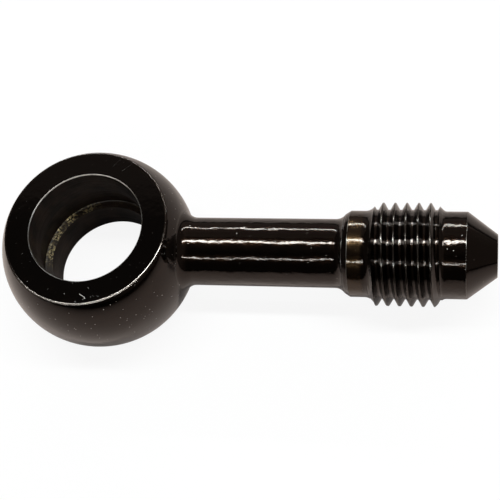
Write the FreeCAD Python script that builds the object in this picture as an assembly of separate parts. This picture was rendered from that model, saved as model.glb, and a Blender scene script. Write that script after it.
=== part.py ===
# Banjo fitting: one turned piece of black plated steel.
# The eye is a ball cut flat on both sides, and a banjo bolt passes through its bore.
# A neck leads from the eye to a threaded stem, whose cone seals against a flared tube or hose end.
# One passage runs from the cone's tip into the groove inside the eye.
# Origin: centre of the bore, halfway between the sealing faces.
# +Z runs along the bore, and +X runs along the neck towards the cone.
import FreeCAD, Part
import math
import os

# Driving sizes, in millimetres and degrees

# Eye
eye_diameter = 18.4
eye_thickness = 10.2
face_edge_break = 0.08
bore_diameter = 10.7
bore_chamfer = 0.09
groove_width = 3.4
groove_depth = 0.75

# Neck, from the bore's axis to the collar's edge
neck_diameter = 6.3
neck_reach = 23.93
neck_root_fillet = 1.3
shoulder_fillet = 1.16
shoulder_lean = 52.0

# Collar, from its edge to the first full thread
collar_diameter = 7.84
collar_length = 2.31
collar_chamfer = 0.31
collar_chamfer_angle = 32.0
flare_fillet = 1.1
flare_lean = 70.0

# Thread, 3/8-24 UNF, right-handed
# Clocking is the angle from +Y towards +Z at which a groove crosses the first full thread.
thread_diameter = 9.34
thread_length = 5.31
thread_pitch = 25.4 / 24
thread_angle = 60.0
thread_crest_flat = 0.13
thread_root_flat = 0.2
thread_clocking = 10.0
thread_end_angle = 44.0

# Land and cone, from the last full thread to the tip
land_diameter = 7.84
land_length = 2.8
land_fillet = 0.5
cone_angle = 37.0

# Passage, and the wall left around it at the tip
passage_diameter = 3.2
passage_chamfer = 0.08
tip_wall = 0.32

# Radii that follow from the diameters
eye_radius = eye_diameter / 2
bore_radius = bore_diameter / 2
neck_radius = neck_diameter / 2
collar_radius = collar_diameter / 2
thread_radius = thread_diameter / 2
land_radius = land_diameter / 2
passage_radius = passage_diameter / 2
tip_radius = passage_radius + tip_wall

# Places along the stem that follow from the lengths
thread_start = neck_reach + collar_length
thread_end = thread_start + thread_length
cone_start = thread_end + land_length

# How far a cutter reaches past the surface that it opens
overshoot = 1.0

ORIGIN = FreeCAD.Vector(0, 0, 0)
X_AXIS = FreeCAD.Vector(1, 0, 0)
Z_AXIS = FreeCAD.Vector(0, 0, 1)


def tangent(degrees):
    return math.tan(math.radians(degrees))


def rounded_profile(corners):
    """Closed wire in the XY plane through (x, y, radius) corners, with an arc at each corner.

    Where two arcs need more than the side between them, both shrink in proportion.
    """
    corners = [c for i, c in enumerate(corners) if math.dist(c[:2], corners[i - 1][:2]) > 1e-6]
    points = [FreeCAD.Vector(x, y, 0) for x, y, _ in corners]
    count = len(points)
    half_angles = []
    for i, point in enumerate(points):
        corner_angle = (points[i - 1] - point).getAngle(points[(i + 1) % count] - point)
        half_angles.append(min(corner_angle / 2, math.radians(89.99)))
    wanted = [radius / math.tan(half) for (_, _, radius), half in zip(corners, half_angles)]
    room = []
    for i, point in enumerate(points):
        side = point.distanceToPoint(points[(i + 1) % count])
        needed = wanted[i] + wanted[(i + 1) % count]
        room.append(min(1.0, side / needed) if needed else 1.0)

    arcs = []
    for i, point in enumerate(points):
        reach = wanted[i] * min(room[i - 1], room[i])
        radius = reach * math.tan(half_angles[i])
        back = (points[i - 1] - point).normalize()
        on = (points[(i + 1) % count] - point).normalize()
        depth = radius / math.sin(half_angles[i]) - radius
        middle = point + (back + on).normalize() * depth if radius else point
        arcs.append((point + back * reach, middle, point + on * reach))

    edges = []
    for i, (start, middle, end) in enumerate(arcs):
        if start.distanceToPoint(end) > 1e-6:
            edges.append(Part.Arc(start, middle, end).toShape())
        following = arcs[(i + 1) % count][0]
        if end.distanceToPoint(following) > 1e-6:
            edges.append(Part.LineSegment(end, following).toShape())
    return Part.Wire(edges)


def turned(profile, axis):
    return Part.Face(profile).revolve(ORIGIN, axis, 360)


def ball_radius_at(height):
    """Radius of the eye's round flank at a height above or below the middle."""
    return math.sqrt(eye_radius ** 2 - height ** 2)


def eye_blank():
    """Solid flattened ball about +Z, before the bore is cut. Its seam is away from the neck."""
    half = eye_thickness / 2
    shoulder = half - face_edge_break
    face_radius = ball_radius_at(shoulder) - 2 * face_edge_break
    low, high = FreeCAD.Vector(0, 0, -half), FreeCAD.Vector(0, 0, half)
    low_rim, high_rim = FreeCAD.Vector(-face_radius, 0, -half), FreeCAD.Vector(-face_radius, 0, half)
    low_end = FreeCAD.Vector(-ball_radius_at(shoulder), 0, -shoulder)
    high_end = FreeCAD.Vector(-ball_radius_at(shoulder), 0, shoulder)
    flank = Part.Arc(low_end, FreeCAD.Vector(-eye_radius, 0, 0), high_end).toShape()
    sides = Part.makePolygon([high_end, high_rim, high, low, low_rim, low_end])
    return turned(Part.Wire([flank] + sides.Edges), Z_AXIS)


def stem_blank():
    """Neck, collar, plain thread cylinder, land and cone, turned about +X from the bore's centre."""
    step = collar_radius - neck_radius
    chamfer = math.copysign(min(collar_chamfer, 0.4 * abs(step)), step)
    crease_radius = collar_radius - chamfer
    crease_x = neck_reach - abs(chamfer) / tangent(collar_chamfer_angle)
    shoulder_x = crease_x - abs(crease_radius - neck_radius) / tangent(shoulder_lean)
    flare_x = thread_start - abs(thread_radius - collar_radius) / tangent(flare_lean)
    land_x = thread_end + abs(thread_radius - land_radius) / tangent(thread_end_angle)
    tip_x = cone_start + abs(land_radius - tip_radius) / tangent(cone_angle)
    profile = rounded_profile([
        (0, 0, 0),
        (0, neck_radius, 0),
        (shoulder_x, neck_radius, shoulder_fillet),
        (crease_x, crease_radius, 0),
        (neck_reach, collar_radius, 0),
        (flare_x, collar_radius, flare_fillet),
        (thread_start, thread_radius, 0),
        (thread_end, thread_radius, 0),
        (land_x, land_radius, land_fillet),
        (cone_start, land_radius, 0),
        (tip_x, tip_radius, 0),
        (tip_x, 0, 0),
    ])
    return turned(profile, X_AXIS), tip_x


def thread_groove():
    """Right-handed helical V groove about +X, which runs out in the flare and in the end chamfer."""
    lean = tangent(thread_angle / 2)
    depth = (thread_pitch - thread_crest_flat - thread_root_flat) / (2 * lean)
    lift = thread_crest_flat / (4 * lean)
    root_half = thread_root_flat / 2
    mouth_half = root_half + (depth + lift) * lean
    root = thread_radius - depth
    mouth = thread_radius + lift
    section = Part.makePolygon([
        FreeCAD.Vector(mouth, 0, -mouth_half),
        FreeCAD.Vector(root, 0, -root_half),
        FreeCAD.Vector(root, 0, root_half),
        FreeCAD.Vector(mouth, 0, mouth_half),
        FreeCAD.Vector(mouth, 0, -mouth_half),
    ])
    run_in = thread_pitch
    run_out = depth / tangent(thread_end_angle) + thread_pitch
    length = run_in + thread_length + run_out
    helix = Part.makeLongHelix(thread_pitch, length, thread_radius, 0, False)
    groove = helix.makePipeShell([section], True, True)
    groove.rotate(ORIGIN, Z_AXIS, thread_clocking)
    # Turning the axes in a ring lays the helix along +X, with its start angle counted from +Y.
    groove.rotate(ORIGIN, FreeCAD.Vector(1, 1, 1), 120)
    groove.translate(X_AXIS * (thread_start - run_in))
    return groove


def bore_cutter():
    """Bore, edge chamfers and inner groove, about +Z."""
    half = eye_thickness / 2
    upper = [
        (bore_radius + groove_depth, groove_width / 2),
        (bore_radius, groove_width / 2),
        (bore_radius, half - bore_chamfer),
        (bore_radius + bore_chamfer + overshoot, half + overshoot),
        (0, half + overshoot),
    ]
    lower = [(radius, -height) for radius, height in reversed(upper)]
    points = [FreeCAD.Vector(-radius, 0, height) for radius, height in lower + upper]
    return turned(Part.makePolygon(points + points[:1]), Z_AXIS)


def passage_cutter(tip_x):
    """Passage from the bore's centre to the tip, with a chamfered mouth, about +X."""
    profile = rounded_profile([
        (0, 0, 0),
        (0, passage_radius, 0),
        (tip_x - passage_chamfer, passage_radius, 0),
        (tip_x + overshoot, passage_radius + passage_chamfer + overshoot, 0),
        (tip_x + overshoot, 0, 0),
    ])
    return turned(profile, X_AXIS)


def is_neck_root(edge):
    """True on the circle where the neck leaves the ball."""
    on_neck = all(
        abs(math.hypot(vertex.Y, vertex.Z) - neck_radius) < 1e-3 for vertex in edge.Vertexes
    )
    return on_neck and edge.BoundBox.XMax < eye_radius and edge.BoundBox.YLength > neck_radius


def banjo_fitting():
    stem, tip_x = stem_blank()
    body = eye_blank().fuse(stem).removeSplitter()
    # A larger root fillet would reach the edge of a sealing face.
    shoulder = eye_thickness / 2 - face_edge_break
    widest = eye_radius * (shoulder - neck_radius) / (eye_radius - shoulder)
    root_edges = [edge for edge in body.Edges if is_neck_root(edge)]
    body = body.makeFillet(min(neck_root_fillet, 0.9 * widest), root_edges)
    body = body.cut(bore_cutter())
    body = body.cut(passage_cutter(tip_x))
    body = body.cut(thread_groove())
    return body.Solids[0]


os.makedirs("parts", exist_ok=True)
fitting = banjo_fitting()
fitting.exportStep("parts/banjo_fitting.step")
print("valid:", fitting.isValid(), "volume in mm3:", round(fitting.Volume, 2), fitting.BoundBox)
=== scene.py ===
import math

import bmesh
import bpy
from bpy.props import FloatProperty, FloatVectorProperty, IntProperty, PointerProperty
from mathutils import Matrix, Vector


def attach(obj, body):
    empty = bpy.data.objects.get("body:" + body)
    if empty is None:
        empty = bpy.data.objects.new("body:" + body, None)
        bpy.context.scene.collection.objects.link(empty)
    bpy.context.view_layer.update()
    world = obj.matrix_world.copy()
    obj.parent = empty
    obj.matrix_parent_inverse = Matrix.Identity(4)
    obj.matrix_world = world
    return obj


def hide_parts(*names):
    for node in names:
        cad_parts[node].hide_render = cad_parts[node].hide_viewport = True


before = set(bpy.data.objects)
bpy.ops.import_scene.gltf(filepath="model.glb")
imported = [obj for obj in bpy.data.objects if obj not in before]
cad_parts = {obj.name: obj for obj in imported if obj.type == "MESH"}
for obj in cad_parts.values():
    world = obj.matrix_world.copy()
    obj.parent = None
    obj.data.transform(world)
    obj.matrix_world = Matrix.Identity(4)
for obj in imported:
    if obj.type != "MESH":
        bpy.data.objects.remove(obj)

bl_info = {
    "name": "Banjo Fitting",
    "version": (1, 0, 0),
    "blender": (4, 5, 0),
    "location": "View3D > Sidebar > Banjo Fitting",
    "description": "Turns, bores, threads and plates a banjo fitting, and lights it in a small studio",
    "category": "Add Mesh",
}

MM = 0.001
CAD_NODE = "banjo_fitting"
FITTING_NAME = "plated_banjo_fitting"

# Marks that the photo shows: a smudge on the bore's wall, and hairlines on the upper face between
# two (x, y) points in millimetres. The first two hairlines make a small V.
SMUDGE_PLACE = (-0.2 * MM, 5.35 * MM, 2.42 * MM)
HAIRLINES = (
    ((0.57, -6.57), (1.16, -6.94)),
    ((1.16, -6.94), (0.91, -7.13)),
    ((1.79, 6.21), (2.55, 7.19)),
    ((2.76, 5.79), (3.65, 6.54)),
)
# Directions of the painted glint in the groove, of the painted highlight on the bore's edge and of the
# painted highlight on the face rims
GROOVE_GLINT_SIDE = (-0.97, 0.25, 0.0)
EDGE_HIGHLIGHT_SIDE = (-0.26, 0.97, 0.0)
RIM_HIGHLIGHT_SIDE = (0.0, -1.0, 0.0)

# Facets along the ball, the root fillet and the small arcs, and steps per turn of the thread
BALL_STEPS = 72
ROOT_STEPS = 12
STEM_ARC_STEPS = 10
GROOVE_ARC_STEPS = 5
THREAD_STEPS = 120
MERGE_DISTANCE = 1e-7

# A face centre this close to a surface is taken to lie on it.
NEAR = 0.015 * MM


def length(name, millimetres, description):
    """A length property whose default is given in millimetres."""
    return FloatProperty(
        name=name, description=description, default=millimetres * MM,
        min=0.0, unit="LENGTH", precision=5,
    )


def angle(name, degrees, description):
    """An angle property whose default is given in degrees."""
    return FloatProperty(
        name=name, description=description, default=math.radians(degrees), subtype="ANGLE",
    )


def colour(name, value, description):
    """A linear colour property."""
    return FloatVectorProperty(
        name=name, description=description, default=value,
        size=3, min=0.0, max=1.0, subtype="COLOR",
    )


class EyeSizes(bpy.types.PropertyGroup):
    """Sizes of the flattened ball and of the bore through it"""

    ball_radius: length("Ball radius", 9.2, "Radius of the eye's round flank")
    half_thickness: length("Half thickness", 5.1, "From the middle of the eye to a sealing face")
    face_edge: length("Face edge", 0.08, "Height of the broken edge round a sealing face")
    bore_radius: length("Bore radius", 5.35, "Radius of the bore for the banjo bolt")
    bore_edge: length("Bore edge", 0.09, "Size of the broken edge at each end of the bore")
    groove_radius: length("Groove radius", 6.1, "Radius of the groove's floor inside the bore")
    groove_half_width: length(
        "Groove half width", 1.7, "From the middle of the eye to a groove wall",
    )
    groove_corner: length("Groove corner", 0.2, "Radius left by the tool in the groove's corners")
    root_fillet: length("Root fillet", 1.3, "Rolling fillet between the ball and the neck")


class StemSizes(bpy.types.PropertyGroup):
    """Sizes of the neck, collar, land and cone"""

    neck_radius: length("Neck radius", 3.15, "Radius of the plain neck")
    neck_reach: length("Neck reach", 23.93, "From the bore's axis to the collar's edge")
    shoulder_fillet: length("Shoulder fillet", 1.16, "Radius of the hollow below the collar")
    shoulder_lean: angle("Shoulder lean", 52.0, "Slope where the hollow meets the collar")
    collar_radius: length("Collar radius", 3.92, "Radius of the collar behind the thread")
    collar_length: length("Collar length", 2.31, "From the collar's edge to the first full thread")
    collar_chamfer: length("Collar chamfer", 0.31, "Radial height of the collar's chamfer")
    chamfer_lean: angle("Chamfer lean", 32.0, "Slope of the collar's chamfer")
    flare_fillet: length("Flare fillet", 1.1, "Radius of the hollow that leads up to the thread")
    flare_lean: angle("Flare lean", 70.0, "Slope at which that hollow meets the thread")
    land_radius: length("Land radius", 3.92, "Radius of the plain land before the cone")
    land_length: length("Land length", 2.8, "From the last full thread to the cone")
    land_fillet: length("Land fillet", 0.5, "Radius between end chamfer and land")
    cone_lean: angle("Cone angle", 37.0, "Angle between the sealing cone and the axis")
    cone_edge: length("Cone edge", 0.15, "Radius on the edge between the land and the cone")
    tip_wall: length("Tip wall", 0.32, "Wall left round the passage at the tip")
    tip_edge: length("Tip edge", 0.12, "Radius on the tip's outer edge")
    passage_radius: length("Passage radius", 1.6, "Radius of the passage along the stem")
    passage_edge: length("Passage edge", 0.08, "Broken edge at the passage's mouth")
    fine_edge: length("Fine edge", 0.04, "Radius left on the collar's edges by plating")


class ThreadSizes(bpy.types.PropertyGroup):
    """Sizes of the right-handed thread"""

    radius: length("Crest radius", 4.67, "Radius over the crests")
    pitch: length("Pitch", 25.4 / 24, "Distance from one crest to the next")
    full_length: length("Length", 5.31, "Length of full thread")
    crest_flat: length("Crest flat", 0.13, "Width of the flat on each crest")
    root_flat: length("Root flat", 0.2, "Width of the flat in each root")
    flank_lean: angle("Flank angle", 30.0, "Angle between a flank and a plane across the axis")
    clocking: angle("Clocking", 10.0, "Where a groove crosses the first full thread")
    end_lean: angle("End lean", 44.0, "Slope of the chamfer after the last full thread")
    softness: length("Edge softness", 0.03, "How far plating has softened the crest and root edges")


class Finish(bpy.types.PropertyGroup):
    """Colours and gloss of the plating"""

    plating: colour("Plating", (0.016, 0.0075, 0.004), "Brownish body of the plating")
    plating_thin: colour("Thin plating", (0.021, 0.011, 0.006), "Body where the plating is thin")
    collar_plating: colour("Collar plating", (0.048, 0.028, 0.013), "Plating on the collar")
    bore_plating: colour("Bore plating", (0.024, 0.0130, 0.0085), "Dull plating on the bore's wall")
    # Yellowish metal of the chips in the groove, placed as a painted glint.
    bare_gold_glint: colour("Bare glint", (0.95, 0.74, 0.38), "Yellowish metal in the groove")
    edge_metal: colour("Edge metal", (0.13, 0.12, 0.11), "Rubbed metal on the sharp edges")
    # Colour of the painted highlight on the face rims and on the bore's edge.
    rim_glint: colour("Rim glint", (0.53, 0.46, 0.42), "Metal where a rim catches the light")
    dust: colour("Dust", (0.62, 0.60, 0.57), "Specks of dust")
    gloss_ior: FloatProperty(
        name="Gloss strength", description="Refractive index of the gloss on the plating",
        default=1.46, min=1.0,
    )
    gloss_roughness: FloatProperty(
        name="Gloss roughness", description="Roughness of the gloss on the plating",
        default=0.06, min=0.0, max=1.0,
    )


class Studio(bpy.types.PropertyGroup):
    """Lamps and paper"""

    lamp_distance: length("Lamp distance", 600.0, "From the fitting to each tube lamp")
    lamp_length: length("Lamp length", 950.0, "Length of each tube lamp")
    lamp_shift: FloatProperty(
        name="Lamp shift", description="How far along X the lamps' middle is",
        default=125 * MM, unit="LENGTH",
    )
    lamp_power: FloatProperty(
        name="Lamp power", description="Power of the wide middle lamp",
        default=4.35, min=0.0, unit="POWER",
    )
    paper: colour("Paper", (0.94, 0.90, 0.90), "Colour of the paper under the fitting")
    turning_steps: IntProperty(
        name="Turning steps", description="Faces round each turned surface",
        default=192, min=24, max=512,
    )


# Modelling steps shared by the pieces

def deselect_everything():
    if bpy.context.object and bpy.context.object.mode != "OBJECT":
        bpy.ops.object.mode_set(mode="OBJECT")
    bpy.ops.object.select_all(action="DESELECT")


def start_profile(name, start):
    """A new mesh in edit mode with one selected vertex at (x, z)."""
    deselect_everything()
    bpy.ops.mesh.primitive_plane_add(size=MM, location=(0, 0, 0))
    piece = bpy.context.object
    piece.name = name
    bpy.ops.object.mode_set(mode="EDIT")
    bpy.ops.mesh.select_all(action="SELECT")
    bpy.ops.mesh.merge(type="CENTER")
    bpy.ops.transform.translate(value=(start[0], 0, start[1]))
    return piece


def draw_line(start, end):
    """Extrude the selected vertex from one (x, z) point to another."""
    bpy.ops.mesh.extrude_vertices_move(
        TRANSFORM_OT_translate={"value": (end[0] - start[0], 0, end[1] - start[1])}
    )


def draw_arc(centre, turn, steps):
    """Spin the selected vertex about (x, z). A positive turn goes from +X towards +Z."""
    bpy.ops.mesh.spin(steps=steps, angle=turn, center=(centre[0], 0, centre[1]), axis=(0, 1, 0))


def draw_corners(start, corners, arc_steps):
    """Draw on from start through (x, z, radius) corners, with an arc where there is a radius."""
    pen = Vector(start)
    for i, (x, z, radius) in enumerate(corners):
        corner = Vector((x, z))
        if radius == 0 or i + 1 == len(corners):
            draw_line(pen, corner)
            pen = corner
            continue
        back = (pen - corner).normalized()
        on = (Vector(corners[i + 1][:2]) - corner).normalized()
        half = back.angle(on) / 2
        reach = radius / math.tan(half)
        arc_start, arc_end = corner + back * reach, corner + on * reach
        centre = corner + (back + on).normalized() * (radius / math.sin(half))
        turn = math.pi - 2 * half
        if (corner - pen).cross(Vector(corners[i + 1][:2]) - corner) < 0:
            turn = -turn
        draw_line(pen, arc_start)
        draw_arc(centre, turn, arc_steps)
        pen = arc_end
    return pen


def close_profile():
    """Join the profile's two ends with a straight side."""
    mesh = bmesh.from_edit_mesh(bpy.context.object.data)
    for vertex in mesh.verts:
        vertex.select = len(vertex.link_edges) == 1
    mesh.select_flush_mode()
    bmesh.update_edit_mesh(bpy.context.object.data)
    bpy.ops.mesh.edge_face_add()


def turn_profile(axis, steps):
    """Spin the whole profile once about an axis through the origin and close it into a solid."""
    bpy.ops.mesh.select_all(action="SELECT")
    bpy.ops.mesh.spin(steps=steps, angle=math.tau, center=(0, 0, 0), axis=axis)
    bpy.ops.mesh.select_all(action="SELECT")
    bpy.ops.mesh.remove_doubles(threshold=MERGE_DISTANCE)
    bpy.ops.mesh.normals_make_consistent(inside=False)
    bpy.ops.object.mode_set(mode="OBJECT")


def cut(piece, cutter):
    """Take the cutter's shape out of the piece, and remove the cutter."""
    deselect_everything()
    bpy.context.view_layer.objects.active = piece
    piece.select_set(True)
    modifier = piece.modifiers.new("cut", "BOOLEAN")
    modifier.operation = "DIFFERENCE"
    modifier.solver = "EXACT"
    modifier.object = cutter
    bpy.ops.object.modifier_apply(modifier=modifier.name)
    bpy.data.objects.remove(cutter, do_unlink=True)


def fitting():
    """The fitting as far as it is made."""
    piece = bpy.data.objects.get(FITTING_NAME)
    if piece is None:
        raise RuntimeError("Turn the blank first")
    return piece


def stem_places(scene):
    """X of the collar's crease, of the thread's start and end, and of the cone's edge."""
    stem, thread = scene.banjo_stem, scene.banjo_thread
    crease_x = stem.neck_reach - stem.collar_chamfer / math.tan(stem.chamfer_lean)
    thread_start = stem.neck_reach + stem.collar_length
    thread_end = thread_start + thread.full_length
    return crease_x, thread_start, thread_end, thread_end + stem.land_length


def root_fillet_centre(eye, stem):
    """(x, z) of the centre of the fillet that rolls between the ball and the neck."""
    z = stem.neck_radius + eye.root_fillet
    return math.sqrt((eye.ball_radius + eye.root_fillet) ** 2 - z ** 2), z


class MESH_OT_banjo_turn_blank(bpy.types.Operator):
    """Turn the ball, neck, collar, thread cylinder, land, cone and passage as one blank about X"""

    bl_idname = "mesh.banjo_turn_blank"
    bl_label = "Turn the Blank"

    def execute(self, context):
        scene = context.scene
        eye, stem, thread = scene.banjo_eye, scene.banjo_stem, scene.banjo_thread
        neck = stem.neck_radius
        fillet_x, fillet_z = root_fillet_centre(eye, stem)
        contact = math.atan2(fillet_z, fillet_x)

        start_profile(FITTING_NAME, (-eye.ball_radius, 0))
        draw_arc((0, 0), contact - math.pi, BALL_STEPS)
        draw_arc((fillet_x, fillet_z), math.pi / 2 - contact, ROOT_STEPS)

        crease_x, thread_start, thread_end, cone_x = stem_places(scene)
        crease = stem.collar_radius - stem.collar_chamfer
        shoulder_x = crease_x - (crease - neck) / math.tan(stem.shoulder_lean)
        flare_x = thread_start - (thread.radius - stem.collar_radius) / math.tan(stem.flare_lean)
        land_x = thread_end + (thread.radius - stem.land_radius) / math.tan(thread.end_lean)
        tip = stem.passage_radius + stem.tip_wall
        tip_x = cone_x + (stem.land_radius - tip) / math.tan(stem.cone_lean)
        mouth = stem.passage_radius + stem.passage_edge
        draw_corners((fillet_x, neck), [
            (shoulder_x, neck, stem.shoulder_fillet),
            (crease_x, crease, stem.fine_edge),
            (stem.neck_reach, stem.collar_radius, stem.fine_edge),
            (flare_x, stem.collar_radius, stem.flare_fillet),
            (thread_start, thread.radius, 0),
            (thread_end, thread.radius, 0),
            (land_x, stem.land_radius, stem.land_fillet),
            (cone_x, stem.land_radius, stem.cone_edge),
            (tip_x, tip, stem.tip_edge),
            (tip_x, mouth, 0),
            (tip_x - stem.passage_edge, stem.passage_radius, 0),
            (0, stem.passage_radius, 0),
            (0, 0, 0),
        ], STEM_ARC_STEPS)
        turn_profile((1, 0, 0), scene.banjo_studio.turning_steps)
        return {"FINISHED"}


class MESH_OT_banjo_bore_eye(bpy.types.Operator):
    """Face the ball flat on both sides, and bore and groove it, with one spool-shaped cutter"""

    bl_idname = "mesh.banjo_bore_eye"
    bl_label = "Face and Bore the Eye"

    def execute(self, context):
        eye = context.scene.banjo_eye
        half, edge = eye.half_thickness, eye.face_edge
        top = eye.ball_radius + MM
        rim = math.sqrt(eye.ball_radius ** 2 - (half - edge) ** 2)
        outside = rim + 0.25 * edge
        upper = [
            (eye.bore_radius, eye.groove_half_width, 0),
            (eye.bore_radius, half - eye.bore_edge, 0),
            (eye.bore_radius + 0.3 * eye.bore_edge, half - 0.3 * eye.bore_edge, 0),
            (eye.bore_radius + eye.bore_edge, half, 0),
            (rim - 1.9 * edge, half, 0),
            (rim - 1.2 * edge, half - 0.1 * edge, 0),
            (rim - 0.5 * edge, half - 0.45 * edge, 0),
            (outside, half - 1.3 * edge, 0),
            (outside, top, 0),
        ]
        groove = [
            (eye.groove_radius, -eye.groove_half_width, eye.groove_corner),
            (eye.groove_radius, eye.groove_half_width, eye.groove_corner),
        ]
        lower = [(x, -z, corner) for x, z, corner in reversed(upper)]
        cutter = start_profile("spool_cutter", (0, -top))
        draw_corners((0, -top), lower + groove + upper + [(0, top, 0)], GROOVE_ARC_STEPS)
        close_profile()
        turn_profile((0, 0, 1), context.scene.banjo_studio.turning_steps)
        cut(fitting(), cutter)
        return {"FINISHED"}


class MESH_OT_banjo_cut_thread(bpy.types.Operator):
    """Cut the right-handed thread, which runs out in the flare and in the end chamfer"""

    bl_idname = "mesh.banjo_cut_thread"
    bl_label = "Cut the Thread"

    def execute(self, context):
        stem, thread = context.scene.banjo_stem, context.scene.banjo_thread
        lean = math.tan(thread.flank_lean)
        depth = (thread.pitch - thread.crest_flat - thread.root_flat) / (2 * lean)
        root_half = thread.root_flat / 2
        crest_half = root_half + depth * lean
        soft = thread.softness
        side = [
            (root_half - 0.6 * soft, -depth),
            (root_half + 0.5 * soft * lean, 0.5 * soft - depth),
            (crest_half - soft * lean, -soft),
            (crest_half, -0.25 * soft),
            (crest_half + 0.9 * soft, 0.35 * soft),
        ]
        _, thread_start, _, _ = stem_places(context.scene)
        start_x = thread_start - thread.pitch * (1 + thread.clocking / math.tau)
        section = [(-x, r) for x, r in reversed(side)] + side
        points = [(start_x + x, thread.radius + r) for x, r in section]
        cutter = start_profile("thread_cutter", points[0])
        draw_corners(points[0], [(x, r, 0) for x, r in points[1:]], 1)
        close_profile()
        # The section is drawn above the axis, towards +Z, and clocking counts from +Y.
        bpy.ops.mesh.select_all(action="SELECT")
        bpy.ops.object.mode_set(mode="OBJECT")
        cutter.data.transform(Matrix.Rotation(-math.pi / 2, 4, "X"))

        run_out = depth / math.tan(thread.end_lean) + thread.pitch
        turns = (thread.pitch + thread.full_length + run_out) / thread.pitch
        screw = cutter.modifiers.new("screw", "SCREW")
        screw.axis = "X"
        screw.angle = math.tau
        screw.screw_offset = thread.pitch
        screw.iterations = math.ceil(turns)
        screw.steps = screw.render_steps = THREAD_STEPS
        screw.use_smooth_shade = False
        bpy.ops.object.modifier_apply(modifier=screw.name)
        bpy.ops.object.mode_set(mode="EDIT")
        bpy.ops.mesh.select_all(action="SELECT")
        bpy.ops.mesh.remove_doubles(threshold=MERGE_DISTANCE)
        bpy.ops.mesh.select_all(action="SELECT")
        bpy.ops.mesh.fill_holes(sides=0)
        bpy.ops.mesh.select_all(action="SELECT")
        bpy.ops.mesh.normals_make_consistent(inside=False)
        bpy.ops.object.mode_set(mode="OBJECT")
        cut(fitting(), cutter)
        return {"FINISHED"}


# Node helpers for the finishes

class Nodes:
    """A short way to fill an empty node tree."""

    def __init__(self, tree):
        self.tree = tree
        tree.nodes.clear()

    def feed(self, socket, value):
        """Link a value that comes from another node, or set a plain one."""
        if isinstance(value, bpy.types.NodeSocket):
            self.tree.links.new(value, socket)
        else:
            socket.default_value = value

    def add(self, kind, inputs=None, **settings):
        node = self.tree.nodes.new(kind)
        for key, value in settings.items():
            setattr(node, key, value)
        for key, value in (inputs or {}).items():
            self.feed(node.inputs[key], value)
        return node

    def maths(self, operation, *values):
        """A maths node, or a chain of them where there are more than two values."""
        inputs = dict(enumerate(values[:2]))
        result = self.add("ShaderNodeMath", inputs, operation=operation).outputs[0]
        return self.maths(operation, result, *values[2:]) if len(values) > 2 else result

    def noise(self, vector, scale, detail=2.0, roughness=0.5):
        inputs = {"Vector": vector, "Scale": scale, "Detail": detail, "Roughness": roughness}
        return self.add("ShaderNodeTexNoise", inputs).outputs["Fac"]

    def ramp(self, value, low, high, to_low=0.0, to_high=1.0):
        inputs = {
            "Value": value, "From Min": low, "From Max": high, "To Min": to_low, "To Max": to_high,
        }
        return self.add("ShaderNodeMapRange", inputs, clamp=True).outputs["Result"]

    def blend(self, share, first, second):
        """A colour between two. A plain colour is given as three numbers."""
        node = self.add("ShaderNodeMix", data_type="RGBA")
        for index, value in ((0, share), (6, first), (7, second)):
            plain_colour = index and not isinstance(value, bpy.types.NodeSocket)
            self.feed(node.inputs[index], (*value, 1.0) if plain_colour else value)
        return node.outputs[2]

    def axes(self, vector):
        return self.add("ShaderNodeSeparateXYZ", {"Vector": vector}).outputs

    def along(self, place, direction):
        """How far a place lies in a direction from the origin."""
        inputs = {0: place, 1: direction}
        node = self.add("ShaderNodeVectorMath", inputs, operation="DOT_PRODUCT")
        return node.outputs["Value"]

    def distance(self, vector):
        return self.add("ShaderNodeVectorMath", {0: vector}, operation="LENGTH").outputs["Value"]

    def bump(self, height, distance, strength, normal=None):
        inputs = {"Height": height, "Distance": distance, "Strength": strength}
        if normal is not None:
            inputs["Normal"] = normal
        return self.add("ShaderNodeBump", inputs).outputs["Normal"]


def empty_material(name):
    material = bpy.data.materials.new(name)
    material.use_nodes = True
    return material, Nodes(material.node_tree)


def new_finish(name, constants=None):
    """A material with one shader, and the place on the object that its patterns read."""
    material, nodes = empty_material(name)
    shader = nodes.add("ShaderNodeBsdfPrincipled", constants)
    nodes.add("ShaderNodeOutputMaterial", {"Surface": shader.outputs["BSDF"]})
    place = nodes.add("ShaderNodeTexCoord").outputs["Object"]
    return material, nodes, shader.inputs, place


def darker(value, share):
    return tuple(part * share for part in value)


def dust_specks(nodes, place, scale, size, share):
    """1 on a few small round specks, elsewhere 0."""
    cells = nodes.add("ShaderNodeTexVoronoi", {"Vector": place, "Scale": scale}).outputs
    draw = nodes.add("ShaderNodeSeparateColor", {"Color": cells["Color"]}).outputs[0]
    chosen = nodes.maths("GREATER_THAN", draw, 1.0 - share)
    near = nodes.ramp(cells["Distance"], size * 0.6, size, 1.0, 0.0)
    return nodes.maths("MULTIPLY", near, chosen)


def scratch(nodes, place, start, end):
    """1 on a hairline between two (x, y) points in millimetres on the upper face, elsewhere 0."""
    start, end = Vector(start) * MM, Vector(end) * MM
    middle, stroke = (start + end) / 2, end - start
    turn = math.atan2(stroke.y, stroke.x)
    inputs = {"Vector": place, "Location": (*middle, 0), "Rotation": (0, 0, turn)}
    local = nodes.add("ShaderNodeMapping", inputs, vector_type="TEXTURE").outputs[0]
    offset = nodes.axes(local)
    in_length = nodes.maths("LESS_THAN", nodes.maths("ABSOLUTE", offset["X"]), stroke.length / 2)
    in_width = nodes.ramp(nodes.maths("ABSOLUTE", offset["Y"]), 0.008 * MM, 0.028 * MM, 1.0, 0.0)
    above = nodes.maths("GREATER_THAN", offset["Z"], 5 * MM)
    return nodes.maths("MULTIPLY", in_length, in_width, above)


def edge_line(nodes, value, middle, half_width):
    """1 where a value is close to its middle, fading to 0 at the half width."""
    off = nodes.maths("ABSOLUTE", nodes.maths("SUBTRACT", value, middle))
    return nodes.ramp(off, 0.4 * half_width, half_width, 1.0, 0.0)


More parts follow.
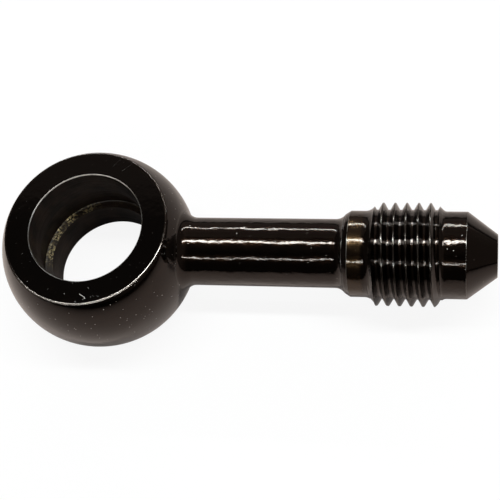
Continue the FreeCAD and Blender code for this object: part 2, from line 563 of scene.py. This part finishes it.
def worn_places(nodes, place, x, from_stem, scene):
    """Rubbed rings at the root, collar and cone and rubbed crests, broken up by noise."""
    eye, stem, thread = scene.banjo_eye, scene.banjo_stem, scene.banjo_thread
    crease_x, _, _, cone_x = stem_places(scene)
    fillet_x, fillet_z = root_fillet_centre(eye, stem)
    root_x = eye.ball_radius * math.cos(math.atan2(fillet_z, fillet_x))
    on_stem = nodes.maths("GREATER_THAN", x, crease_x - 0.1 * MM)
    crest = nodes.ramp(from_stem, thread.radius - 0.07 * MM, thread.radius - 0.02 * MM, 0.0, 0.45)
    rings = nodes.maths(
        "MAXIMUM",
        nodes.maths("MULTIPLY", edge_line(nodes, x, root_x, 0.06 * MM), 0.5),
        edge_line(nodes, x, crease_x, 0.05 * MM),
        edge_line(nodes, x, stem.neck_reach, 0.06 * MM),
        edge_line(nodes, x, cone_x, 0.05 * MM),
        nodes.maths("MULTIPLY", crest, on_stem),
    )
    rubbed = nodes.ramp(nodes.noise(place, 1500.0, 3.0, 0.6), 0.35, 0.6, 0.25, 1.0)
    return nodes.maths("MULTIPLY", rings, rubbed)


def rim_highlight_and_wear(nodes, place, eye):
    """Rim of each sealing face: a painted highlight, strong on the camera's side and faint elsewhere,
    mixed with rubbed wear from noise.
    """
    rim_radius = math.sqrt(eye.ball_radius ** 2 - eye.half_thickness ** 2)
    axes = nodes.axes(place)
    flat = nodes.add("ShaderNodeCombineXYZ", {"X": axes["X"], "Y": axes["Y"]}).outputs[0]
    height = nodes.maths("ABSOLUTE", axes["Z"])
    at_rim = nodes.maths("GREATER_THAN", height, eye.half_thickness - 2 * eye.face_edge)
    ring = edge_line(nodes, nodes.distance(flat), rim_radius - 0.05 * MM, 0.12 * MM)
    # Painted highlight along the rim, strongest on the camera's side.
    camera_side_highlight = nodes.ramp(
        nodes.along(place, RIM_HIGHLIGHT_SIDE), 0.45 * rim_radius, 0.85 * rim_radius, 0.1, 0.8)
    rubbed = nodes.ramp(nodes.noise(place, 1500.0, 3.0, 0.6), 0.35, 0.6, 0.0, 0.25)
    return nodes.maths("MULTIPLY", ring, at_rim, nodes.maths("MAXIMUM", camera_side_highlight, rubbed))


def dust_and_hairlines(nodes, place, x, on_face):
    """How strongly dust shows: most on the ball, less on the stem, and least on the faces."""
    speck = dust_specks(nodes, place, 850.0, 0.05, 0.9)
    mote = nodes.maths("MULTIPLY", dust_specks(nodes, place, 1300.0, 0.075, 1.0), 0.7)
    coarse = nodes.maths(
        "MULTIPLY", nodes.maths("MAXIMUM", speck, mote), nodes.ramp(x, 8 * MM, 12 * MM, 1.0, 0.4))
    fine = nodes.maths(
        "MULTIPLY", dust_specks(nodes, place, 1700.0, 0.1, 0.8), 0.8,
        nodes.ramp(x, 8 * MM, 10 * MM, 1.0, 0.0))
    dust = nodes.maths(
        "MULTIPLY", nodes.maths("MAXIMUM", coarse, fine), nodes.ramp(on_face, 0.0, 1.0, 1.0, 0.15))
    lines = nodes.maths("MAXIMUM", *(scratch(nodes, place, *ends) for ends in HAIRLINES))
    return nodes.maths("MAXIMUM", dust, nodes.maths("MULTIPLY", lines, 0.15))


def black_plating(scene):
    """Glossy black plating with a brownish body, rubbed edges, dust and slightly wavy turning."""
    eye, stem, finish = scene.banjo_eye, scene.banjo_stem, scene.banjo_finish
    crease_x, _, _, cone_x = stem_places(scene)
    material, nodes, surface, place = new_finish("black_plating", {
        "Metallic": 1.0, "Coat Weight": 1.0,
        "Coat IOR": finish.gloss_ior, "Coat Roughness": finish.gloss_roughness,
    })
    axes = nodes.axes(place)
    across = nodes.add("ShaderNodeCombineXYZ", {"Y": axes["Y"], "Z": axes["Z"]}).outputs[0]
    from_stem = nodes.distance(across)

    on_face = nodes.maths(
        "GREATER_THAN", nodes.maths("ABSOLUTE", axes["Z"]), eye.half_thickness - 0.01 * MM)
    collar_middle = stem.neck_reach + 0.28 * stem.collar_length
    from_collar = nodes.maths("ABSOLUTE", nodes.maths("SUBTRACT", axes["X"], collar_middle))
    on_collar = nodes.ramp(from_collar, 0.5 * MM, 0.75 * MM, 1.0, 0.0)
    worn = worn_places(nodes, place, axes["X"], from_stem, scene)
    # rim holds the faces' painted rim highlight, mixed with rubbed wear.
    rim = rim_highlight_and_wear(nodes, place, eye)
    marks = dust_and_hairlines(nodes, place, axes["X"], on_face)

    cloud = nodes.ramp(nodes.noise(place, 260.0, 4.0, 0.6), 0.42, 0.72)
    tint = nodes.blend(cloud, finish.plating, finish.plating_thin)
    tint = nodes.blend(on_collar, tint, finish.collar_plating)
    tint = nodes.blend(worn, tint, finish.edge_metal)
    tint = nodes.blend(on_face, tint, darker(finish.plating, 0.35))
    # Painted highlight: the faces' rims take the glint colour, most on the camera's side, with some
    # rubbed wear.
    tint = nodes.blend(rim, tint, finish.rim_glint)
    nodes.feed(surface["Base Color"], nodes.blend(marks, tint, finish.dust))

    smear = nodes.ramp(nodes.noise(place, 900.0, 3.0, 0.6), 0.35, 0.75, 0.10, 0.19)
    roughness = nodes.maths(
        "ADD", smear,
        nodes.maths("MULTIPLY", on_collar, 0.09),
        nodes.maths("MULTIPLY", on_face, -0.06),
        nodes.maths("MULTIPLY", nodes.maths("MAXIMUM", worn, rim), 0.25),
        nodes.maths("MULTIPLY", marks, 0.4),
    )
    nodes.feed(surface["Roughness"], roughness)

    # The turned neck, collar and land are wavier than the ball and the cone.
    turned = nodes.maths(
        "MULTIPLY", nodes.ramp(axes["X"], 9 * MM, 11 * MM, 0.12, 1.0),
        nodes.ramp(axes["X"], cone_x - 0.2 * MM, cone_x, 1.0, 0.12))
    wave = nodes.bump(nodes.noise(place, 560.0, 2.0, 0.5), 0.00006, turned)
    ripple = nodes.bump(nodes.noise(place, 2200.0, 3.0, 0.6), 0.000016, turned, wave)
    crease = edge_line(nodes, axes["X"], crease_x + 0.05 * MM, 0.09 * MM)
    tool_mark = nodes.bump(nodes.maths("SUBTRACT", 1.0, crease), 0.00006, 1.0, ripple)
    relief = nodes.bump(marks, 0.00003, 0.6, tool_mark)
    nodes.feed(surface["Normal"], relief)
    nodes.feed(surface["Coat Normal"], relief)
    return material


def bore_plating(scene):
    """Dull plating with turning rings, stains, dust and one dark smudge."""
    finish = scene.banjo_finish
    material, nodes, surface, place = new_finish("bore_plating", {
        "Metallic": 0.0, "Specular IOR Level": 0.12,
    })
    ring_scale = {"Vector": place, "Scale": (0.25, 0.25, 9.0)}
    rings = nodes.add("ShaderNodeMapping", ring_scale).outputs[0]
    marks = nodes.noise(rings, 500.0, 5.0, 0.65)
    stain = nodes.ramp(nodes.noise(place, 420.0, 4.0, 0.6), 0.38, 0.66)
    tint = nodes.blend(stain, darker(finish.bore_plating, 0.25), finish.bore_plating)

    from_smudge = {"Vector": place, "Location": SMUDGE_PLACE, "Scale": (1.0, 1.0, 0.4)}
    offset = nodes.add("ShaderNodeMapping", from_smudge, vector_type="TEXTURE").outputs[0]
    ragged = nodes.maths("ADD", nodes.distance(offset), nodes.maths("MULTIPLY", marks, 0.4 * MM))
    smudge = nodes.ramp(ragged, 0.7 * MM, 0.9 * MM, 0.9, 0.0)
    tint = nodes.blend(smudge, tint, darker(finish.bore_plating, 0.1))
    speck = nodes.maths("MULTIPLY", dust_specks(nodes, place, 1100.0, 0.05, 0.5), 0.4)
    nodes.feed(surface["Base Color"], nodes.blend(speck, tint, finish.dust))

    nodes.feed(surface["Roughness"], nodes.ramp(marks, 0.3, 0.7, 0.42, 0.6))
    grain = nodes.bump(nodes.noise(place, 2600.0, 3.0, 0.6), 0.00002, 0.5)
    nodes.feed(surface["Normal"], nodes.bump(marks, 0.00003, 0.6, grain))
    return material


def groove_metal(scene):
    """Shoulder of the groove with chips of yellowish metal, gathered on the side away from the neck as
    a painted glint.
    """
    finish = scene.banjo_finish
    material, nodes, surface, place = new_finish("groove_metal")
    chips = nodes.noise(place, 4200.0, 4.0, 0.7)
    # Painted glint: the chips are strongest on one side of the shoulder and fade towards -Y.
    chips_and_glint = nodes.maths(
        "MULTIPLY", nodes.ramp(chips, 0.47, 0.6),
        nodes.ramp(nodes.along(place, GROOVE_GLINT_SIDE), 2.6 * MM, 5.3 * MM, 0.03, 1.0),
        nodes.ramp(nodes.axes(place)["Y"], -1.8 * MM, 0.8 * MM, 0.12, 1.0),
        nodes.ramp(nodes.noise(place, 1100.0, 2.0, 0.5), 0.42, 0.57, 0.1, 1.0),
    )
    nodes.feed(surface["Base Color"], nodes.blend(chips_and_glint, finish.bore_plating, finish.bare_gold_glint))
    nodes.feed(surface["Metallic"], chips_and_glint)
    nodes.feed(surface["Roughness"], nodes.ramp(chips, 0.3, 0.7, 0.5, 0.3))
    nodes.feed(surface["Normal"], nodes.bump(chips, 0.00006, 0.8))
    return material


def edge_metal(scene):
    """Rubbed edge of the bore, with a painted highlight on its far side."""
    finish = scene.banjo_finish
    material, nodes, surface, place = new_finish("rubbed_edge_painted_highlight", {
        "Metallic": 0.0, "Specular IOR Level": 0.7,
    })
    wear = nodes.noise(place, 1300.0, 3.0, 0.6)
    tint = nodes.blend(
        nodes.ramp(wear, 0.3, 0.62), finish.plating_thin, darker(finish.edge_metal, 0.6))
    # Painted highlight: the far side of the edge takes the glint colour, broken up by the wear noise.
    far_side = nodes.ramp(nodes.along(place, EDGE_HIGHLIGHT_SIDE), 1.6 * MM, 4.6 * MM)
    painted_highlight = nodes.maths("MULTIPLY", far_side, nodes.ramp(wear, 0.3, 0.6, 0.7, 1.0))
    nodes.feed(surface["Base Color"], nodes.blend(painted_highlight, tint, finish.rim_glint))
    nodes.feed(surface["Roughness"], nodes.ramp(wear, 0.3, 0.7, 0.26, 0.4))
    nodes.feed(surface["Normal"], nodes.bump(wear, 0.00001, 0.5))
    return material


FINISHES = (black_plating, bore_plating, groove_metal, edge_metal)


def finish_of(face, eye, stem):
    """Which finish a face gets, by where its centre lies."""
    x, y, z = face.center
    from_bore, from_stem, height = math.hypot(x, y), math.hypot(y, z), abs(z)
    in_bore = from_bore < eye.bore_radius + NEAR and height < eye.half_thickness - eye.bore_edge
    in_groove = (
        height < eye.groove_half_width + NEAR
        and eye.bore_radius + NEAR < from_bore < eye.groove_radius + NEAR
    )
    in_passage = x > eye.bore_radius and from_stem < stem.passage_radius + NEAR
    on_bore_edge = (
        from_bore < eye.bore_radius + eye.bore_edge and height < eye.half_thickness - NEAR / 5
    )
    if in_groove:
        return groove_metal if face.normal.z > 0.5 else bore_plating
    if in_bore:
        return bore_plating
    if on_bore_edge:
        return edge_metal
    return bore_plating if in_passage else black_plating


class OBJECT_OT_banjo_plate(bpy.types.Operator):
    """Smooth the fitting, give each surface its finish and let it stand for the CAD solid"""

    bl_idname = "object.banjo_plate"
    bl_label = "Plate the Fitting"

    def execute(self, context):
        piece = fitting()
        eye, stem = context.scene.banjo_eye, context.scene.banjo_stem
        piece.data.materials.clear()
        for finish in FINISHES:
            piece.data.materials.append(finish(context.scene))
        for face in piece.data.polygons:
            face.material_index = FINISHES.index(finish_of(face, eye, stem))

        deselect_everything()
        context.view_layer.objects.active = piece
        piece.select_set(True)
        bpy.ops.object.shade_smooth_by_angle(angle=math.radians(36))
        # The sealing faces stay flat, or their edges would bend the light across them.
        for face in piece.data.polygons:
            if abs(face.center.z) > eye.half_thickness - NEAR / 5:
                face.use_smooth = False
        weights = piece.modifiers.new("weights", "WEIGHTED_NORMAL")
        weights.mode = "FACE_AREA"
        weights.keep_sharp = True
        bpy.ops.object.modifier_apply(modifier=weights.name)

        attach(piece, "root")
        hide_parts(CAD_NODE)
        return {"FINISHED"}


# The studio

def tube_lamp(name, degrees, width, share, studio):
    """A long lamp beside the fitting. Its lean in degrees counts from overhead towards +Y."""
    lean = math.radians(degrees)
    place = Vector((0, math.sin(lean), math.cos(lean))) * studio.lamp_distance
    place.x = studio.lamp_shift
    bpy.ops.object.light_add(type="AREA", location=place)
    lamp = bpy.context.object
    lamp.name = name
    lamp.rotation_euler = (-lean, 0, 0)
    lamp.data.shape = "RECTANGLE"
    lamp.data.size = studio.lamp_length
    lamp.data.size_y = width * studio.lamp_distance
    lamp.data.energy = studio.lamp_power * share
    lamp.data.color = (0.92, 1.0, 1.0)


def seen_as_background(nodes):
    """1 for rays that should meet a white background: camera, mirror and glass rays."""
    rays = nodes.add("ShaderNodeLightPath").outputs
    return nodes.maths(
        "MAXIMUM", rays["Is Camera Ray"], rays["Is Glossy Ray"], rays["Is Transmission Ray"])


class SCENE_OT_banjo_studio(bpy.types.Operator):
    """Lay the paper, hang three tube lamps under a dark canopy and place the camera"""

    bl_idname = "scene.banjo_studio"
    bl_label = "Set Up the Studio"

    def execute(self, context):
        studio, eye = context.scene.banjo_studio, context.scene.banjo_eye
        deselect_everything()
        self.lay_paper(studio, eye)
        self.hang_canopy()
        wide, narrow = 0.074, 0.018
        tube_lamp("middle_tube", 10.2, wide, 1.0, studio)
        tube_lamp("back_tube", 62, narrow, 0.355, studio)
        tube_lamp("front_tube", -46.2, narrow, 0.257, studio)
        self.set_world(context)
        self.place_camera(context)
        context.scene.view_settings.view_transform = "Standard"
        return {"FINISHED"}

    def lay_paper(self, studio, eye):
        bpy.ops.mesh.primitive_plane_add(size=6.0, location=(0, 0, -eye.half_thickness))
        paper = bpy.context.object
        paper.name = "paper"
        material, nodes = empty_material("white_paper")
        mirrored = nodes.add("ShaderNodeLightPath").outputs["Is Glossy Ray"]
        warm = tuple(c * w for c, w in zip(studio.paper, (1.06, 0.88, 0.79)))
        shade = nodes.blend(mirrored, studio.paper, warm)
        matt = nodes.add("ShaderNodeBsdfDiffuse", {"Color": shade}).outputs[0]
        white = nodes.add("ShaderNodeEmission", {"Color": (1, 1, 1, 1), "Strength": 1.0}).outputs[0]
        share = nodes.maths(
            "MULTIPLY", seen_as_background(nodes), nodes.ramp(mirrored, 0.0, 1.0, 0.9, 0.15))
        mixed = nodes.add("ShaderNodeMixShader", {0: share, 1: matt, 2: white}).outputs[0]

        # In the plating's mirror image the paper fades away with the lamps' pool of light.
        place = nodes.add("ShaderNodeTexCoord").outputs["Object"]
        stretch = 0.6
        pool = {"Vector": place, "Location": (-stretch * 14 * MM, 0, 0), "Scale": (stretch, 1, 1)}
        away = nodes.distance(nodes.add("ShaderNodeMapping", pool).outputs[0])
        fade = nodes.maths(
            "MAXIMUM", nodes.ramp(away, 10 * MM, 110 * MM, 0.47, 1.0),
            nodes.ramp(nodes.axes(place)["Y"], 3 * MM, 14 * MM, 0.47, 0.68))
        fade = nodes.maths("MULTIPLY", fade, mirrored)
        dark = nodes.add("ShaderNodeBsdfDiffuse", {"Color": (0.01, 0.01, 0.01, 1.0)}).outputs[0]
        seen = nodes.add("ShaderNodeMixShader", {0: fade, 1: mixed, 2: dark}).outputs[0]
        nodes.add("ShaderNodeOutputMaterial", {"Surface": seen})
        paper.data.materials.append(material)

    def hang_canopy(self):
        """A dark box round the lamps that stands in for the shade of an unlit room, with a painted
        glow. The camera doesn't see it.
        """
        bpy.ops.mesh.primitive_cube_add(size=5.0, location=(0, 0, 2.45))
        canopy = bpy.context.object
        canopy.name = "dark_canopy"
        material, nodes = empty_material("dark_canopy_painted_glow")
        shade_surface = nodes.add("ShaderNodeBsdfDiffuse", {"Color": (0.012, 0.010, 0.009, 1.0)}).outputs[0]
        # Painted reflection: the box glows dimly, paler behind the fitting and where the cone points,
        # so that a dim room shows in the plating.
        axes = nodes.axes(nodes.add("ShaderNodeTexCoord").outputs["Object"])
        strength = nodes.maths(
            "ADD",
            nodes.ramp(axes["Y"], -2.3, -1.0, 0.025, 0.055),
            nodes.ramp(axes["Y"], 2.4, 2.49, 0.0, 0.10),
            nodes.ramp(axes["X"], 0.3, 2.5, 0.0, 0.06),
        )
        painted_glow = {"Color": (1.0, 0.82, 0.71, 1.0), "Strength": strength}
        room = nodes.add("ShaderNodeAddShader", {
            0: shade_surface, 1: nodes.add("ShaderNodeEmission", painted_glow).outputs[0],
        }).outputs[0]
        nodes.add("ShaderNodeOutputMaterial", {"Surface": room})
        canopy.data.materials.append(material)
        canopy.visible_camera = False

    def set_world(self, context):
        world = bpy.data.worlds.new("white_surroundings")
        world.use_nodes = True
        nodes = Nodes(world.node_tree)
        strength = nodes.ramp(seen_as_background(nodes), 0.0, 1.0, 0.8, 1.0)
        inputs = {"Color": (1, 1, 1, 1), "Strength": strength}
        background = nodes.add("ShaderNodeBackground", inputs).outputs[0]
        nodes.add("ShaderNodeOutputWorld", {"Surface": background})
        context.scene.world = world

    def place_camera(self, context):
        """Stand where the photo's camera stood, as fitted to its outline and edges."""
        bpy.ops.object.camera_add(location=Vector((37.95028, -44.79886, 101.40655)) * MM)
        camera = bpy.context.object
        camera.name = "camera"
        sight = Vector((-0.20699846, 0.39689646, -0.89421744)).normalized()
        upward = Vector((-0.01551564, 0.91256709, 0.40863256))
        right = sight.cross(upward).normalized()
        upward = right.cross(sight)
        camera.rotation_euler = Matrix((right, upward, -sight)).transposed().to_euler()
        camera.data.sensor_width = 36.0
        camera.data.lens = 88.1
        camera.data.clip_start = 0.001
        camera.data.dof.use_dof = False
        context.scene.camera = camera


class VIEW3D_PT_banjo_fitting(bpy.types.Panel):
    """Sizes, finishes and steps of the banjo fitting"""

    bl_label = "Banjo Fitting"
    bl_idname = "VIEW3D_PT_banjo_fitting"
    bl_space_type = "VIEW_3D"
    bl_region_type = "UI"
    bl_category = "Banjo Fitting"

    def draw(self, context):
        for operator in STEPS:
            self.layout.operator(operator.bl_idname)
        for name in SETTINGS:
            box = self.layout.box()
            group = getattr(context.scene, name)
            for key in group.__annotations__:
                box.prop(group, key)


STEPS = (
    MESH_OT_banjo_turn_blank,
    MESH_OT_banjo_bore_eye,
    MESH_OT_banjo_cut_thread,
    OBJECT_OT_banjo_plate,
    SCENE_OT_banjo_studio,
)
SETTINGS = {
    "banjo_eye": EyeSizes,
    "banjo_stem": StemSizes,
    "banjo_thread": ThreadSizes,
    "banjo_finish": Finish,
    "banjo_studio": Studio,
}
CLASSES = (*SETTINGS.values(), *STEPS, VIEW3D_PT_banjo_fitting)


def register():
    for item in CLASSES:
        bpy.utils.register_class(item)
    for name, group in SETTINGS.items():
        setattr(bpy.types.Scene, name, PointerProperty(type=group))


def unregister():
    for name in SETTINGS:
        delattr(bpy.types.Scene, name)
    for item in reversed(CLASSES):
        bpy.utils.unregister_class(item)


def main():
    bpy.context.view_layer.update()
    register()
    bpy.ops.mesh.banjo_turn_blank()
    bpy.ops.mesh.banjo_bore_eye()
    bpy.ops.mesh.banjo_cut_thread()
    bpy.ops.object.banjo_plate()
    bpy.ops.scene.banjo_studio()


if __name__ == "__main__":
    main()
